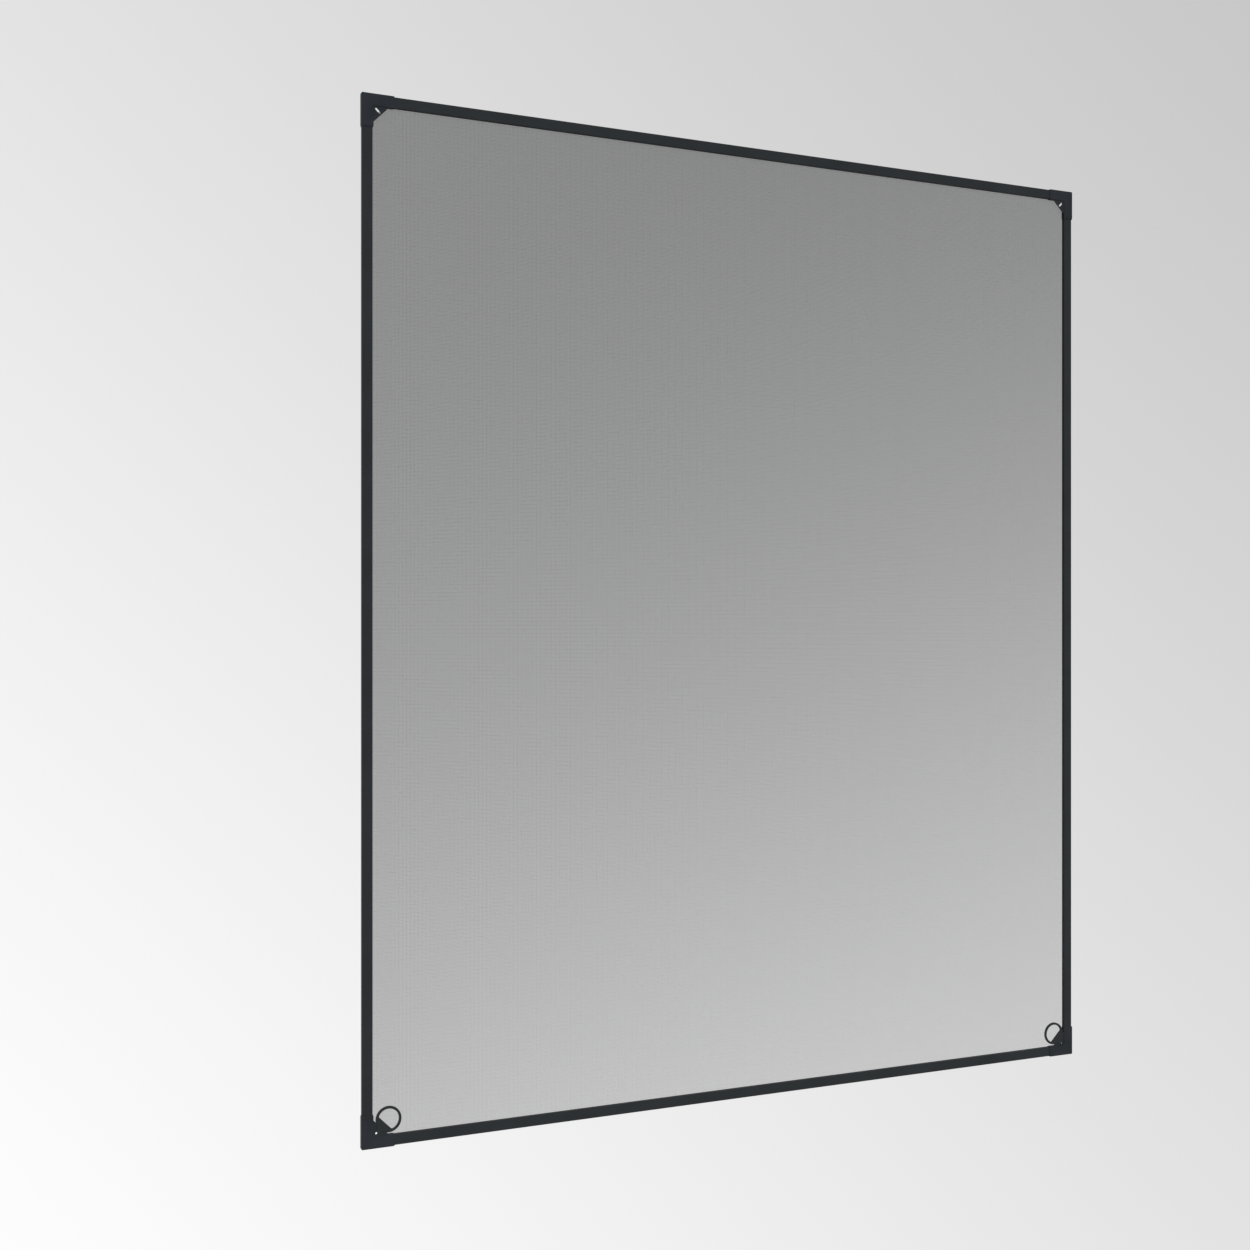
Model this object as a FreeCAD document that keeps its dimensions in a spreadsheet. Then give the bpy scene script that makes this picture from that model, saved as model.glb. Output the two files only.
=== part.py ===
"""Magnetic window screen: four extruded rails, four moulded corners, fly cloth and two clip-on pull rings.

X runs to the right, Y towards the window and Z up, in millimetres, about the centre of the screen.
Every piece of one side is drawn from the outer corner where that side starts, with the side along X, the
rail's outer edge at the bottom and the rail's front face on the XZ plane, and is then turned to its side.
"""
import FreeCAD, Part
import math
import os

import Sketcher

doc = FreeCAD.newDocument("window_screen")

# Two lengths that differ by less are the same
SAME = 1e-4

# Driving sizes, each with what it measures
SIZES = {
    "overall_width": (1000.0, "over the corner pieces, left to right"),
    "overall_height": (1200.0, "over the corner pieces, bottom to top"),
    "rail_width": (12.2, "rail seen from the front"),
    "rail_depth": (5.4, "rail from front to back"),
    "rail_wall": (0.9, "walls of the extruded section"),
    "rail_edge": (0.4, "rounding of the rail's front edges"),
    "groove_width": (2.8, "groove for the cloth's edge"),
    "groove_floor": (1.3, "front wall under that groove"),
    "lip_setback": (0.8, "inner lip short of the rail's back, for the cloth to pass over"),
    "magnet_thickness": (2.1, "flexible magnet strip"),
    "magnet_proud": (0.3, "magnet strip proud of the rail's back"),
    "magnet_gap": (0.1, "play beside the magnet strip"),
    "strip_end_gap": (0.5, "magnet and spline short of the rail's end"),
    "cloth_thickness": (0.3, "woven cloth"),
    "spline_gap": (0.05, "play round the spline"),
    "spline_sink": (0.3, "spline below the rail's back"),
    "spline_head": (0.8, "plain top of the spline, above its barbs"),
    "spline_barbs": (2, "barbs on each side of the spline"),
    "barb_depth": (0.35, "undercut of each barb"),
    "cap_side": (0.8, "corner piece proud of the rail at each side"),
    "cap_front": (1.1, "corner piece proud of the rail's front"),
    "cap_arm": (38.5, "length of each arm from the outer corner"),
    "cap_taper": (2.0, "run of the bevel at the end of each arm"),
    "cap_tip": (0.35, "thickness left at the end of that bevel"),
    "cap_fit": (0.05, "gap between the sleeve and the rail"),
    "cap_corner": (1.2, "rounding of the outer corner"),
    "cap_edge": (0.3, "rounding of the front edges"),
    "block_over": (1.0, "corner block past the rail's inner edge"),
    "end_gap": (0.2, "gap between the block and the end of a rail"),
    "sleeve_lift": (0.2, "gap between the inner sleeve wall and the cloth"),
    "core_wall": (1.2, "walls round the pockets at the back of the block"),
    "core_rib": (1.2, "rib between those pockets"),
    "core_skin": (2.2, "front of the block left by the pockets"),
    "spigot_length": (30.0, "spigot inside the rail"),
    "spigot_gap": (0.1, "play round the spigot"),
    "spigot_lead": (0.6, "bevel at the spigot's tip"),
    "web_end": (6.5, "arm past the end of the sloping web"),
    "web_recess": (0.6, "web behind the front of the corner piece"),
    "web_thickness": (0.8, "sloping web"),
    "slot_length": (8.0, "slot in the web, end to end"),
    "slot_width": (2.4, "slot in the web"),
    "slot_bar": (1.5, "bar of the web left beside the slot"),
    "ring_overhang": (12.0, "ring's centre beyond the edge of the web"),
    "ring_radius": (14.95, "outside of the ring"),
    "ring_band": (2.85, "band of the ring"),
    "ring_depth": (2.5, "ring from front to back"),
    "ring_edge": (0.4, "bevel of the ring's edges"),
    "ring_chord": (5.5, "straight side of the finger hole from the ring's centre"),
    "ring_hole_corner": (2.0, "rounding where that side meets the hole's arc"),
    "tongue_width": (7.0, "clip tongue over the slot"),
    "slot_free": (2.3, "slot left open past the clip tongue"),
    "clip_gap": (0.05, "play between the clip and the web"),
    "clip_play": (0.15, "play between the ring and the edge of the web"),
    "neck_gap": (0.1, "play between the clip's neck and the slot"),
    "snap_gap": (0.6, "opening through which the web's bar snaps in"),
    "web_cover": (6.3, "web past the cut corner of the cloth, along each arm"),
    "thread_width": (0.5, "drawn thread of the cloth"),
    "thread_proud": (0.12, "drawn thread proud of the cloth"),
    "thread_inset": (2.5, "drawn threads short of the rails"),
    "mesh_opening": (9.5, "drawn opening of the weave"),
    "openings_across": (10, "drawn openings side by side"),
    "openings_up": (12, "drawn openings one above another"),
    "threads_per_opening": (7, "drawn threads for each opening"),
}

sheet = doc.addObject("Spreadsheet::Sheet", "Sizes")
for row, (alias, (number, meaning)) in enumerate(SIZES.items(), start=1):
    sheet.set(f"A{row}", alias)
    sheet.set(f"B{row}", str(number))
    sheet.setAlias(f"B{row}", alias)
    sheet.set(f"C{row}", meaning)
doc.recompute()


def size(name):
    """The expression that reads one driving size."""
    if name not in SIZES:
        raise KeyError(name)
    return f"Sizes.{name}"


def value(expression):
    """The number that an expression has now, which places a sketch's first lines."""
    return float(sheet.evalExpression(expression))


# The rail's section, across from the corner piece's outer side and back from the rail's front face
rail_outer = size("cap_side")
rail_inner = f"({rail_outer} + {size('rail_width')})"
lip_outer = f"({rail_inner} - {size('rail_wall')})"
groove_outer = f"({lip_outer} - {size('groove_width')})"
channel_outer = f"({rail_outer} + {size('rail_wall')})"
channel_inner = f"({groove_outer} - {size('rail_wall')})"
channel_floor = f"({size('rail_depth')} - {size('magnet_thickness')} + {size('magnet_proud')})"
chamber_back = f"({channel_floor} - {size('rail_wall')})"
lip_back = f"({size('rail_depth')} - {size('lip_setback')})"

# The corner piece, from its outer corner
arm_width = f"({size('rail_width')} + 2 * {size('cap_side')})"
block_end = f"({rail_inner} + {size('block_over')})"
rail_start = f"({block_end} + {size('end_gap')})"
strip_start = f"({rail_start} + {size('strip_end_gap')})"
cap_face = f"(-{size('cap_front')})"
web_front = f"({cap_face} + {size('web_recess')})"
web_back = f"({web_front} + {size('web_thickness')})"
web_tip = f"({size('cap_arm')} - {size('web_end')})"

# Along the diagonal from the same corner
web_edge = f"(({arm_width} + {web_tip}) / sqrt(2))"
slot_inner = f"({web_edge} - {size('slot_bar')})"
slot_outer = f"({slot_inner} - {size('slot_length')})"
ring_centre = f"({web_edge} + {size('ring_overhang')})"
ring_end = f"({web_edge} + {size('clip_play')})"
tongue_end = f"({slot_outer} + {size('slot_free')})"

# The whole screen, from its centre
magnet_face = f"({size('rail_depth')} + {size('magnet_proud')})"
front_face = f"(({size('cap_front')} - {magnet_face}) / 2)"
half_width = f"({size('overall_width')} / 2)"
half_height = f"({size('overall_height')} / 2)"

# Each side starts at a corner and is turned about Y from the bottom side
SIDES = {
    "bottom": ("overall_width", f"-{half_width}", f"-{half_height}", 0),
    "right": ("overall_height", half_width, f"-{half_height}", -90),
    "top": ("overall_width", half_width, half_height, 180),
    "left": ("overall_height", f"-{half_width}", half_height, 90),
}
CORNERS = {"bottom_left": "bottom", "bottom_right": "right", "top_right": "top", "top_left": "left"}


def new_body(name, side=None):
    """A body placed at the corner where its side starts, or at the centre for the cloth."""
    body = doc.addObject("PartDesign::Body", name)
    body.Label = name
    body.setExpression("Placement.Base.y", front_face)
    if side:
        _, corner_x, corner_z, turn = SIDES[side]
        body.Placement.Rotation = FreeCAD.Rotation(FreeCAD.Vector(0, 1, 0), turn)
        body.setExpression("Placement.Base.x", corner_x)
        body.setExpression("Placement.Base.z", corner_z)
    return body


def origin_feature(body, role):
    """One of the planes or axes of a body's own origin."""
    return next(item for item in body.Origin.OriginFeatures if item.Role == role)


def new_sketch(body, name, plane_role, offset, turn=0):
    """A sketch on one of the body's own planes, moved along that plane's normal and turned in it."""
    sketch = body.newObject("Sketcher::SketchObject", f"{body.Name}_{name}")
    sketch.AttachmentSupport = [(origin_feature(body, plane_role), "")]
    sketch.MapMode = "FlatFace"
    turned = FreeCAD.Rotation(FreeCAD.Vector(0, 0, 1), turn)
    sketch.AttachmentOffset = FreeCAD.Placement(FreeCAD.Vector(), turned)
    sketch.setExpression("AttachmentOffset.Base.z", offset)
    return sketch


def front_sketch(body, name, depth):
    """A sketch seen from the front, at a depth behind the rails' front face."""
    return new_sketch(body, name, "XZ_Plane", f"-({depth})")


def diagonal_sketch(body, name, depth):
    """The same with its X axis along the corner's diagonal."""
    return new_sketch(body, name, "XZ_Plane", f"-({depth})", turn=45)


def section_sketch(body, name, start):
    """A sketch of a side's section, X to the back and Y across from the outer side."""
    return new_sketch(body, name, "YZ_Plane", start)


def fix_point(sketch, geometry, point, across, up):
    """Dimensions one point from the sketch's origin."""
    for kind, expression in (("DistanceX", across), ("DistanceY", up)):
        limit = Sketcher.Constraint(kind, -1, 1, geometry, point, value(expression))
        index = sketch.addConstraint(limit)
        sketch.setExpression(f"Constraints[{index}]", expression)


def polygon(sketch, corners):
    """A closed outline of straight lines, each corner a pair of expressions."""
    points = [FreeCAD.Vector(value(across), value(up), 0) for across, up in corners]
    lines = []
    for start, end in zip(points, points[1:] + points[:1]):
        lines.append(sketch.addGeometry(Part.LineSegment(start, end)))
    for line, following in zip(lines, lines[1:] + lines[:1]):
        sketch.addConstraint(Sketcher.Constraint("Coincident", line, 2, following, 1))
    for line, (across, up) in zip(lines, corners):
        fix_point(sketch, line, 1, across, up)


def rectangle(sketch, left, bottom, right, top):
    """A closed upright rectangle."""
    polygon(sketch, [(left, bottom), (right, bottom), (right, top), (left, top)])


def circle(sketch, across, up, radius):
    """A full circle, dimensioned from the sketch's origin."""
    centre = FreeCAD.Vector(value(across), value(up), 0)
    line = sketch.addGeometry(Part.Circle(centre, FreeCAD.Vector(0, 0, 1), value(radius)))
    fix_point(sketch, line, 3, across, up)
    index = sketch.addConstraint(Sketcher.Constraint("Radius", line, value(radius)))
    sketch.setExpression(f"Constraints[{index}]", radius)


def stadium(sketch, first, last, radius):
    """A slot shape along the sketch's X axis, from one arc centre to the other."""
    start = FreeCAD.Vector(value(first), 0, 0)
    end = FreeCAD.Vector(value(last), 0, 0)
    reach = FreeCAD.Vector(0, value(radius), 0)
    up = FreeCAD.Vector(0, 0, 1)
    quarter = math.pi / 2
    start_arc = sketch.addGeometry(
        Part.ArcOfCircle(Part.Circle(start, up, value(radius)), quarter, 3 * quarter))
    lower = sketch.addGeometry(Part.LineSegment(start - reach, end - reach))
    end_arc = sketch.addGeometry(
        Part.ArcOfCircle(Part.Circle(end, up, value(radius)), -quarter, quarter))
    upper = sketch.addGeometry(Part.LineSegment(end + reach, start + reach))
    for first_line, first_end, second_line, second_end in (
        (start_arc, 2, lower, 1),
        (lower, 2, end_arc, 1),
        (end_arc, 2, upper, 1),
        (upper, 2, start_arc, 1),
    ):
        joint = Sketcher.Constraint("Tangent", first_line, first_end, second_line, second_end)
        sketch.addConstraint(joint)
    fix_point(sketch, start_arc, 3, first, "0")
    fix_point(sketch, end_arc, 3, last, "0")
    index = sketch.addConstraint(Sketcher.Constraint("Radius", start_arc, value(radius)))
    sketch.setExpression(f"Constraints[{index}]", radius)


def cut_circle(sketch, centre, radius, chord):
    """A circle on the sketch's X axis with its lower-X side cut off by a straight chord."""
    middle = FreeCAD.Vector(value(centre), 0, 0)
    reach = value(centre) - value(chord)
    half = math.sqrt(value(radius) ** 2 - reach ** 2)
    angle = math.pi - math.atan2(half, reach)
    round_part = Part.Circle(middle, FreeCAD.Vector(0, 0, 1), value(radius))
    arc = sketch.addGeometry(Part.ArcOfCircle(round_part, -angle, angle))
    top = FreeCAD.Vector(value(chord), half, 0)
    bottom = FreeCAD.Vector(value(chord), -half, 0)
    line = sketch.addGeometry(Part.LineSegment(top, bottom))
    sketch.addConstraint(Sketcher.Constraint("Coincident", arc, 2, line, 1))
    sketch.addConstraint(Sketcher.Constraint("Coincident", line, 2, arc, 1))
    sketch.addConstraint(Sketcher.Constraint("Vertical", line))
    fix_point(sketch, arc, 3, centre, "0")
    index = sketch.addConstraint(Sketcher.Constraint("Radius", arc, value(radius)))
    sketch.setExpression(f"Constraints[{index}]", radius)
    index = sketch.addConstraint(Sketcher.Constraint("DistanceX", -1, 1, line, 1, value(chord)))
    sketch.setExpression(f"Constraints[{index}]", chord)


def pad(body, sketch, length, towards_back=True, both_ways=False):
    """Adds material from the sketch, towards the back for a sketch seen from the front."""
    feature = body.newObject("PartDesign::Pad", f"{sketch.Name}_pad")
    feature.Profile = sketch
    feature.setExpression("Length", length)
    feature.Reversed = towards_back
    feature.Midplane = both_ways
    doc.recompute()
    sketch.Visibility = False
    return feature


def pocket(body, sketch, length, both_ways=False):
    """Cuts from the sketch towards the back, and checks that the cut took something."""
    before = body.Shape.Volume
    feature = body.newObject("PartDesign::Pocket", f"{sketch.Name}_pocket")
    feature.Profile = sketch
    feature.setExpression("Length", length)
    feature.Midplane = both_ways
    doc.recompute()
    sketch.Visibility = False
    if body.Shape.Volume >= before:
        raise RuntimeError(f"{feature.Name} cut nothing")
    return feature


def dress_edges(body, name, kind, measure, expression, wanted):
    """Rounds or bevels the edges of the body's last feature that a test picks."""
    base = body.Tip
    names = [f"Edge{number}" for number, edge in enumerate(base.Shape.Edges, start=1) if wanted(edge)]
    if not names:
        raise RuntimeError(f"{body.Name} {name} found no edges")
    feature = body.newObject(kind, f"{body.Name}_{name}")
    feature.Base = (base, names)
    feature.setExpression(measure, expression)
    doc.recompute()
    return feature


def round_edges(body, name, radius, wanted):
    """Rounds the edges that a test picks."""
    return dress_edges(body, name, "PartDesign::Fillet", "Radius", radius, wanted)


def bevel_edges(body, name, run, wanted):
    """Bevels the edges that a test picks."""
    return dress_edges(body, name, "PartDesign::Chamfer", "Size", run, wanted)


def near(first, second):
    """True if two lengths agree."""
    return abs(first - second) < SAME


def spans(edge, axis):
    """The lowest and highest place of an edge along one axis of its body."""
    places = [getattr(vertex.Point, axis) for vertex in edge.Vertexes]
    return min(places), max(places)


def lies_at(edge, axis, place):
    """True if all of an edge lies at one place along an axis."""
    low, high = spans(edge, axis)
    return near(low, place) and near(high, place)


def side_length(side, start):
    """The length that is left of a side between two equal starts."""
    return f"{size(SIDES[side][0])} - 2 * {start}"


def make_rail(side):
    """Extruded rail: hollow front, magnet channel and cloth groove open at the back."""
    body = new_body(f"rail_{side}", side)
    section = section_sketch(body, "section", rail_start)
    back = size("rail_depth")
    polygon(section, [
        ("0", rail_outer),
        (back, rail_outer),
        (back, channel_outer),
        (channel_floor, channel_outer),
        (channel_floor, channel_inner),
        (back, channel_inner),
        (back, groove_outer),
        (size("groove_floor"), groove_outer),
        (size("groove_floor"), lip_outer),
        (lip_back, lip_outer),
        (lip_back, rail_inner),
        ("0", rail_inner),
    ])
    rectangle(section, size("rail_wall"), channel_outer, chamber_back, channel_inner)
    pad(body, section, side_length(side, rail_start), towards_back=False)
    outer, inner = value(rail_outer), value(rail_inner)
    round_edges(body, "front_edges", size("rail_edge"), lambda edge: (
        lies_at(edge, "y", 0) and (lies_at(edge, "z", outer) or lies_at(edge, "z", inner))
    ))
    return body


def make_magnet(side):
    """Flexible magnet strip, stuck to the floor of the rail's channel."""
    body = new_body(f"magnet_{side}", side)
    section = section_sketch(body, "section", strip_start)
    gap = size("magnet_gap")
    rectangle(section, channel_floor, f"{channel_outer} + {gap}", magnet_face, f"{channel_inner} - {gap}")
    pad(body, section, side_length(side, strip_start), towards_back=False)
    return body


def make_spline(side):
    """Barbed strip that clamps the cloth in the rail's groove."""
    body = new_body(f"spline_{side}", side)
    section = section_sketch(body, "section", strip_start)
    gap = size("spline_gap")
    low = f"({groove_outer} + {gap})"
    high = f"({lip_outer} - {size('cloth_thickness')} - {gap})"
    foot = f"({size('groove_floor')} + {size('cloth_thickness')} + {gap})"
    top = f"({size('rail_depth')} - {size('spline_sink')})"
    shoulder = f"({top} - {size('spline_head')})"
    barb = size("barb_depth")
    barbs = round(value(size("spline_barbs")))
    lower_side = []
    for number in range(barbs):
        start = f"({foot} + ({shoulder} - {foot}) * {number} / {barbs})"
        end = f"({foot} + ({shoulder} - {foot}) * {number + 1} / {barbs})"
        lower_side += [(start, f"({low} + {barb})"), (end, low)]
    upper_side = [(depth, f"({low} + {high} - {across})") for depth, across in reversed(lower_side)]
    polygon(section, lower_side + [(top, low), (top, high)] + upper_side)
    pad(body, section, side_length(side, strip_start), towards_back=False)
    return body


def both_arms(sketch, start, low, end, high):
    """The same rectangle along each arm of a corner piece."""
    rectangle(sketch, start, low, end, high)
    rectangle(sketch, low, start, high, end)


def make_corner(name, side):
    """Moulded corner: a sleeve over both rail ends, spigots inside them and a sloping web with a slot."""
    body = new_body(f"corner_{name}", side)
    arm = size("cap_arm")
    bevel_start = f"({arm} - {size('cap_taper')})"
    tip_outer = f"({size('cap_side')} - {size('cap_tip')})"
    tip_inner = f"({arm_width} - {tip_outer})"

    outline = front_sketch(body, "outline", cap_face)
    one_arm = [
        (bevel_start, "0"),
        (arm, tip_outer),
        (arm, tip_inner),
        (bevel_start, arm_width),
    ]
    other_arm = [(up, across) for across, up in reversed(one_arm)]
    polygon(outline, [("0", "0")] + one_arm + [(arm_width, arm_width)] + other_arm)
    pad(body, outline, f"{size('cap_front')} + {size('rail_depth')}")

    # The rails slide in here, and the sleeve's inner wall stays clear of the cloth
    fit = size("cap_fit")
    seat = front_sketch(body, "rail_seats", f"-{fit}")
    both_arms(seat, block_end, f"{rail_outer} - {fit}", f"{arm} + {fit}", f"{rail_inner} + {fit}")
    pocket(body, seat, f"{size('rail_depth')} + 2 * {fit}")
    relief_depth = f"({lip_back} - {size('sleeve_lift')})"
    relief = front_sketch(body, "cloth_relief", relief_depth)
    both_arms(relief, block_end, rail_inner, f"{arm} + {fit}", f"{arm_width} + {fit}")
    pocket(body, relief, size("rail_depth"))

    # Bevelled ends on the front, as on the sides
    ramp = [
        (bevel_start, cap_face),
        (f"{arm} + {fit}", cap_face),
        (f"{arm} + {fit}", f"-{size('cap_tip')}"),
        (arm, f"-{size('cap_tip')}"),
    ]
    along_x = new_sketch(body, "ramp_along_x", "XY_Plane", "0")
    polygon(along_x, ramp)
    pocket(body, along_x, f"4 * {arm_width}", both_ways=True)
    along_z = new_sketch(body, "ramp_along_z", "YZ_Plane", "0")
    polygon(along_z, [(depth, along) for along, depth in reversed(ramp)])
    pocket(body, along_z, f"4 * {arm_width}", both_ways=True)

    # Rounded outside, before the thin web joins
    front = value(cap_face)
    round_edges(body, "outer_corner", size("cap_corner"), lambda edge: (
        lies_at(edge, "x", 0) and lies_at(edge, "z", 0)
    ))
    round_edges(body, "front_edges", size("cap_edge"), lambda edge: lies_at(edge, "y", front))

    web = front_sketch(body, "web", web_front)
    polygon(web, [(arm_width, arm_width), (web_tip, arm_width), (arm_width, web_tip)])
    pad(body, web, size("web_thickness"))
    slot = diagonal_sketch(body, "slot", web_front)
    half_slot = f"({size('slot_width')} / 2)"
    stadium(slot, f"({slot_outer} + {half_slot})", f"({slot_inner} - {half_slot})", half_slot)
    pocket(body, slot, size("web_thickness"))

    # Two cored pockets with a rib along the diagonal keep the block's walls even
    wall = size("core_wall")
    far = f"({block_end} - {wall})"
    rib = f"({size('core_rib')} / sqrt(2))"
    floor = f"({cap_face} + {size('core_skin')})"
    cores = front_sketch(body, "cores", floor)
    lower = [(f"({wall} + {rib})", wall), (far, wall), (far, f"({far} - {rib})")]
    polygon(cores, lower)
    polygon(cores, [(up, across) for across, up in reversed(lower)])
    pocket(body, cores, size("rail_depth"))

    # Spigots in the rails' chambers
    gap = size("spigot_gap")
    spigots = front_sketch(body, "spigots", f"{size('rail_wall')} + {gap}")
    spigot_end = f"({block_end} + {size('spigot_length')})"
    both_arms(spigots, block_end, f"{channel_outer} + {gap}", spigot_end, f"{channel_inner} - {gap}")
    pad(body, spigots, f"{chamber_back} - {size('rail_wall')} - 2 * {gap}")
    end = value(spigot_end)
    bevel_edges(body, "spigot_tips", size("spigot_lead"), lambda edge: (
        lies_at(edge, "x", end) or lies_at(edge, "z", end)
    ))
    return body


def make_ring(name, side):
    """Pull ring with a D-shaped finger hole, clipped round the web's bar through the slot."""
    body = new_body(f"pull_ring_{name}", side)
    radius = size("ring_radius")
    depth = size("ring_depth")
    gap = size("clip_gap")
    half_tongue = f"({size('tongue_width')} / 2)"
    tongue_back = f"({web_front} - {gap})"
    hook_front = f"({web_back} + {gap})"
    ring_back = f"({cap_face} + {depth})"
    beyond = f"({tongue_end} - {half_tongue})"

    disc = diagonal_sketch(body, "disc", cap_face)
    circle(disc, ring_centre, "0", radius)
    pad(body, disc, depth)
    tongue = diagonal_sketch(body, "tongue", cap_face)
    stadium(tongue, f"({tongue_end} + {half_tongue})", ring_end, half_tongue)
    pad(body, tongue, depth)

    # The web's plane is cleared on all sides of the neck that passes through the slot
    half_neck = f"({size('slot_width')} / 2 - {size('neck_gap')})"
    neck_end = f"({slot_inner} - {size('neck_gap')})"
    neck_start = f"({tongue_end} + {gap})"
    web_gap = diagonal_sketch(body, "web_gap", tongue_back)
    rectangle(web_gap, beyond, f"-{radius}", ring_end, radius)
    stadium(web_gap, f"({neck_start} + {half_neck})", f"({neck_end} - {half_neck})", half_neck)
    pocket(body, web_gap, f"{hook_front} - {tongue_back}")

    # Behind the web only the hook is left, with the snap opening at its tip
    hook_tip = f"({ring_end} - {size('snap_gap')})"
    behind = diagonal_sketch(body, "behind", hook_front)
    polygon(behind, [
        (beyond, f"-{radius}"),
        (ring_end, f"-{radius}"),
        (ring_end, radius),
        (beyond, radius),
        (beyond, half_tongue),
        (hook_tip, half_tongue),
        (hook_tip, f"-{half_tongue}"),
        (beyond, f"-{half_tongue}"),
    ])
    pocket(body, behind, f"{ring_back} - {hook_front} + {gap}")

    hole_radius = f"({radius} - {size('ring_band')})"
    hole_chord = f"({ring_centre} - {size('ring_chord')})"
    hole = diagonal_sketch(body, "finger_hole", cap_face)
    cut_circle(hole, ring_centre, hole_radius, hole_chord)
    pocket(body, hole, depth)

    centre = value(ring_centre) / math.sqrt(2)
    inside = value(hole_radius)
    front, back = value(cap_face), value(ring_back)
    chord_sum = value(hole_chord) * math.sqrt(2)

    def on_hole(point):
        """True if a point lies on the finger hole's wall."""
        from_centre = math.hypot(point.x - centre, point.z - centre)
        on_chord = near(point.x + point.z, chord_sum) and from_centre < inside + SAME
        return near(from_centre, inside) or on_chord

    round_edges(body, "hole_corners", size("ring_hole_corner"), lambda edge: (
        near(*spans(edge, "x")) and near(*spans(edge, "z")) and on_hole(edge.Vertexes[0].Point)
    ))
    outside = value(radius)

    def is_rim(edge):
        """True for the front and back edges of the ring's outside and of the finger hole."""
        if not (lies_at(edge, "y", front) or lies_at(edge, "y", back)):
            return False
        middle = edge.valueAt((edge.FirstParameter + edge.LastParameter) / 2)
        from_centre = math.hypot(middle.x - centre, middle.z - centre)
        return near(from_centre, outside) or from_centre < inside + SAME

    bevel_edges(body, "rims", size("ring_edge"), is_rim)
    return body


def set_row(row, body, axis_role, length, count):
    """Spreads a pattern's copies along one of the body's axes, over a length."""
    row.Direction = (origin_feature(body, axis_role), [""])
    row.setExpression("Length", length)
    row.setExpression("Occurrences", count)


def row_of(body, feature, axis_role, length, count):
    """Repeats a feature in a row."""
    row = body.newObject("PartDesign::LinearPattern", f"{feature.Name}_row")
    row.Originals = [feature]
    set_row(row, body, axis_role, length, count)
    body.Tip = row
    doc.recompute()
    return row


def grid(body, feature, across, up):
    """Repeats a feature in a grid, each way an axis, a length and a number of copies."""
    rows = []
    for name, way in (("across", across), ("up", up)):
        row = doc.addObject("PartDesign::LinearPattern", f"{feature.Name}_{name}")
        set_row(row, body, *way)
        rows.append(row)
    repeated = body.newObject("PartDesign::MultiTransform", f"{feature.Name}_grid")
    repeated.Originals = [feature]
    repeated.Transformations = rows
    body.Tip = repeated
    doc.recompute()
    return repeated


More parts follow.
